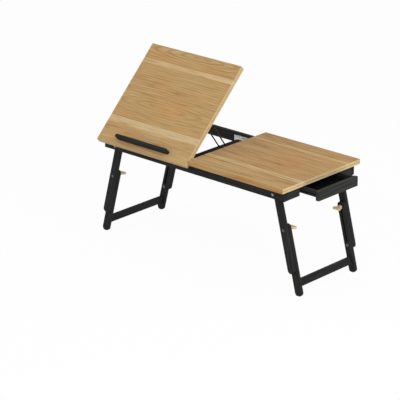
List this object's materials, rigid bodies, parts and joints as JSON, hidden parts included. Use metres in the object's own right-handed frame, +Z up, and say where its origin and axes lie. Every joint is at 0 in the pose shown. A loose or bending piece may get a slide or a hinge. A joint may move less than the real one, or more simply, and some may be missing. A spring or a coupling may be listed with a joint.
{
  "type": "adjustable laptop desk",
  "caption": "Folding laptop desk with a tilting top on wire props, a book ledge, a drawer, and splayed telescoping legs that fold inside when it closes like a case.",
  "frame": {"origin": "on the floor, under the middle of the desk as it stands at rest with its drawer pulled out; the seam between the halves is at x = -9.5 mm", "axes": "+X along the desk towards the drawer end, +Y to the back edge, +Z up"},
  "size_m": [0.815, 0.3551, 0.5571],
  "materials": {
    "oiled_wood": "clear satin oil",
    "black_wood": "black satin stain",
    "pale_knob": "clear satin",
    "brass": "satin plated heads",
    "zinc_steel": "zinc plated",
    "black_wire": "black enamel"
  },
  "bodies": {
    "left_half": {"front_rail_left": "black_wood", "rear_rail_left": "black_wood", "end_rail_left": "black_wood", "rack_board_seam": "black_wood", "rack_board_end": "black_wood", "rack_strips": "black_wood", "leg_stops_left": "black_wood", "leg_bolts_left": "brass", "leg_nuts_left": "zinc_steel", "fold_leaves_left": "zinc_steel", "latch_plates": "zinc_steel", "tilt_leaves_lower": "zinc_steel", "tilt_pins": "zinc_steel"},
    "fold_link": {"fold_links": "zinc_steel", "fold_pins": "zinc_steel"},
    "right_half": {"fixed_panel": "oiled_wood", "front_rail_right": "black_wood", "rear_rail_right": "black_wood", "end_rail_right_front": "black_wood", "end_rail_right_rear": "black_wood", "leg_stops_right": "black_wood", "leg_bolts_right": "brass", "leg_nuts_right": "zinc_steel", "fold_leaves_right": "zinc_steel", "latch_keepers": "zinc_steel", "drawer_runner_front": "black_wood", "drawer_runner_rear": "black_wood"},
    "tilt_top": {"tilt_panel": "oiled_wood", "book_ledge": "black_wood", "tilt_leaves_upper": "zinc_steel", "prop_saddles": "black_wire"},
    "seam_prop": {"prop_seam": "black_wire"},
    "end_prop": {"prop_end": "black_wire"},
    "drawer": {"drawer_front": "black_wood", "drawer_side_front": "black_wood", "drawer_side_rear": "black_wood", "drawer_back": "black_wood", "drawer_bottom": "black_wood"},
    "front_latch": {"latch_bolt_front": "zinc_steel"},
    "rear_latch": {"latch_bolt_rear": "zinc_steel"},
    "upper_legs_left": {"upper_leg_left_front": "black_wood", "upper_leg_left_rear": "black_wood", "knob_bolts_left": "zinc_steel"},
    "lower_legs_left": {"lower_leg_left_front": "black_wood", "lower_leg_left_rear": "black_wood", "cross_bar_left": "black_wood", "guide_screws_left": "zinc_steel"},
    "front_knob_left": {"knob_left_front": "pale_knob"},
    "rear_knob_left": {"knob_left_rear": "pale_knob"},
    "upper_legs_right": {"upper_leg_right_front": "black_wood", "upper_leg_right_rear": "black_wood", "knob_bolts_right": "zinc_steel"},
    "lower_legs_right": {"lower_leg_right_front": "black_wood", "lower_leg_right_rear": "black_wood", "cross_bar_right": "black_wood", "guide_screws_right": "zinc_steel"},
    "front_knob_right": {"knob_right_front": "pale_knob"},
    "rear_knob_right": {"knob_right_rear": "pale_knob"}
  },
  "joints": [
    {"name": "link_fold", "type": "hinge", "parent": "left_half", "child": "fold_link", "pos_m": [-0.0135, 0, 0.2845], "axis": [0, 1, 0], "range_deg": [0, 90]},
    {"name": "desk_fold", "type": "hinge", "parent": "fold_link", "child": "right_half", "pos_m": [-0.0055, 0, 0.2845], "axis": [0, 1, 0], "range_deg": [0, 90]},
    {"name": "top_tilt", "type": "hinge", "parent": "left_half", "child": "tilt_top", "pos_m": [-0.0095, -0.159, 0.31], "axis": [-1, 0, 0], "range_deg": [-3, 45]},
    {"name": "seam_prop_swing", "type": "hinge", "parent": "tilt_top", "child": "seam_prop", "pos_m": [-0.037, -0.06248, 0.4143], "axis": [1, 0, 0], "range_deg": [-7.04, 98.63]},
    {"name": "end_prop_swing", "type": "hinge", "parent": "tilt_top", "child": "end_prop", "pos_m": [-0.322, -0.06248, 0.4143], "axis": [1, 0, 0], "range_deg": [-7.04, 98.63]},
    {"name": "leg_fold_left", "type": "hinge", "parent": "left_half", "child": "upper_legs_left", "pos_m": [-0.3185, 0, 0.2955], "axis": [0, -1, 0], "range_deg": [0, 104.6]},
    {"name": "leg_height_left", "type": "slide", "parent": "upper_legs_left", "child": "lower_legs_left", "axis": [-0.2521, 0, -0.9677], "range_m": [-0.1, 0]},
    {"name": "front_knob_turn_left", "type": "hinge", "parent": "upper_legs_left", "child": "front_knob_left", "pos_m": [-0.34598, -0.105, 0.19002], "axis": [0, 1, 0], "continuous": true},
    {"name": "rear_knob_turn_left", "type": "hinge", "parent": "upper_legs_left", "child": "rear_knob_left", "pos_m": [-0.34598, 0.105, 0.19002], "axis": [0, 1, 0], "continuous": true},
    {"name": "leg_fold_right", "type": "hinge", "parent": "right_half", "child": "upper_legs_right", "pos_m": [0.2995, 0, 0.2955], "axis": [0, 1, 0], "range_deg": [0, 104.6]},
    {"name": "leg_height_right", "type": "slide", "parent": "upper_legs_right", "child": "lower_legs_right", "axis": [0.2521, 0, -0.9677], "range_m": [-0.1, 0]},
    {"name": "front_knob_turn_right", "type": "hinge", "parent": "upper_legs_right", "child": "front_knob_right", "pos_m": [0.32698, -0.105, 0.19002], "axis": [0, 1, 0], "continuous": true},
    {"name": "rear_knob_turn_right", "type": "hinge", "parent": "upper_legs_right", "child": "rear_knob_right", "pos_m": [0.32698, 0.105, 0.19002], "axis": [0, 1, 0], "continuous": true},
    {"name": "drawer_slide", "type": "slide", "parent": "right_half", "child": "drawer", "axis": [-1, 0, 0], "range_m": [-0.09, 0.069]},
    {"name": "front_latch_slide", "type": "slide", "parent": "left_half", "child": "front_latch", "axis": [-1, 0, 0], "range_m": [-0.016, 0]},
    {"name": "rear_latch_slide", "type": "slide", "parent": "left_half", "child": "rear_latch", "axis": [-1, 0, 0], "range_m": [-0.016, 0]}
  ],
  "couplings": [
    {"joint": "seam_prop_swing", "follows": "top_tilt", "ratio": 2.1806},
    {"joint": "end_prop_swing", "follows": "top_tilt", "ratio": 2.1806}
  ]
}
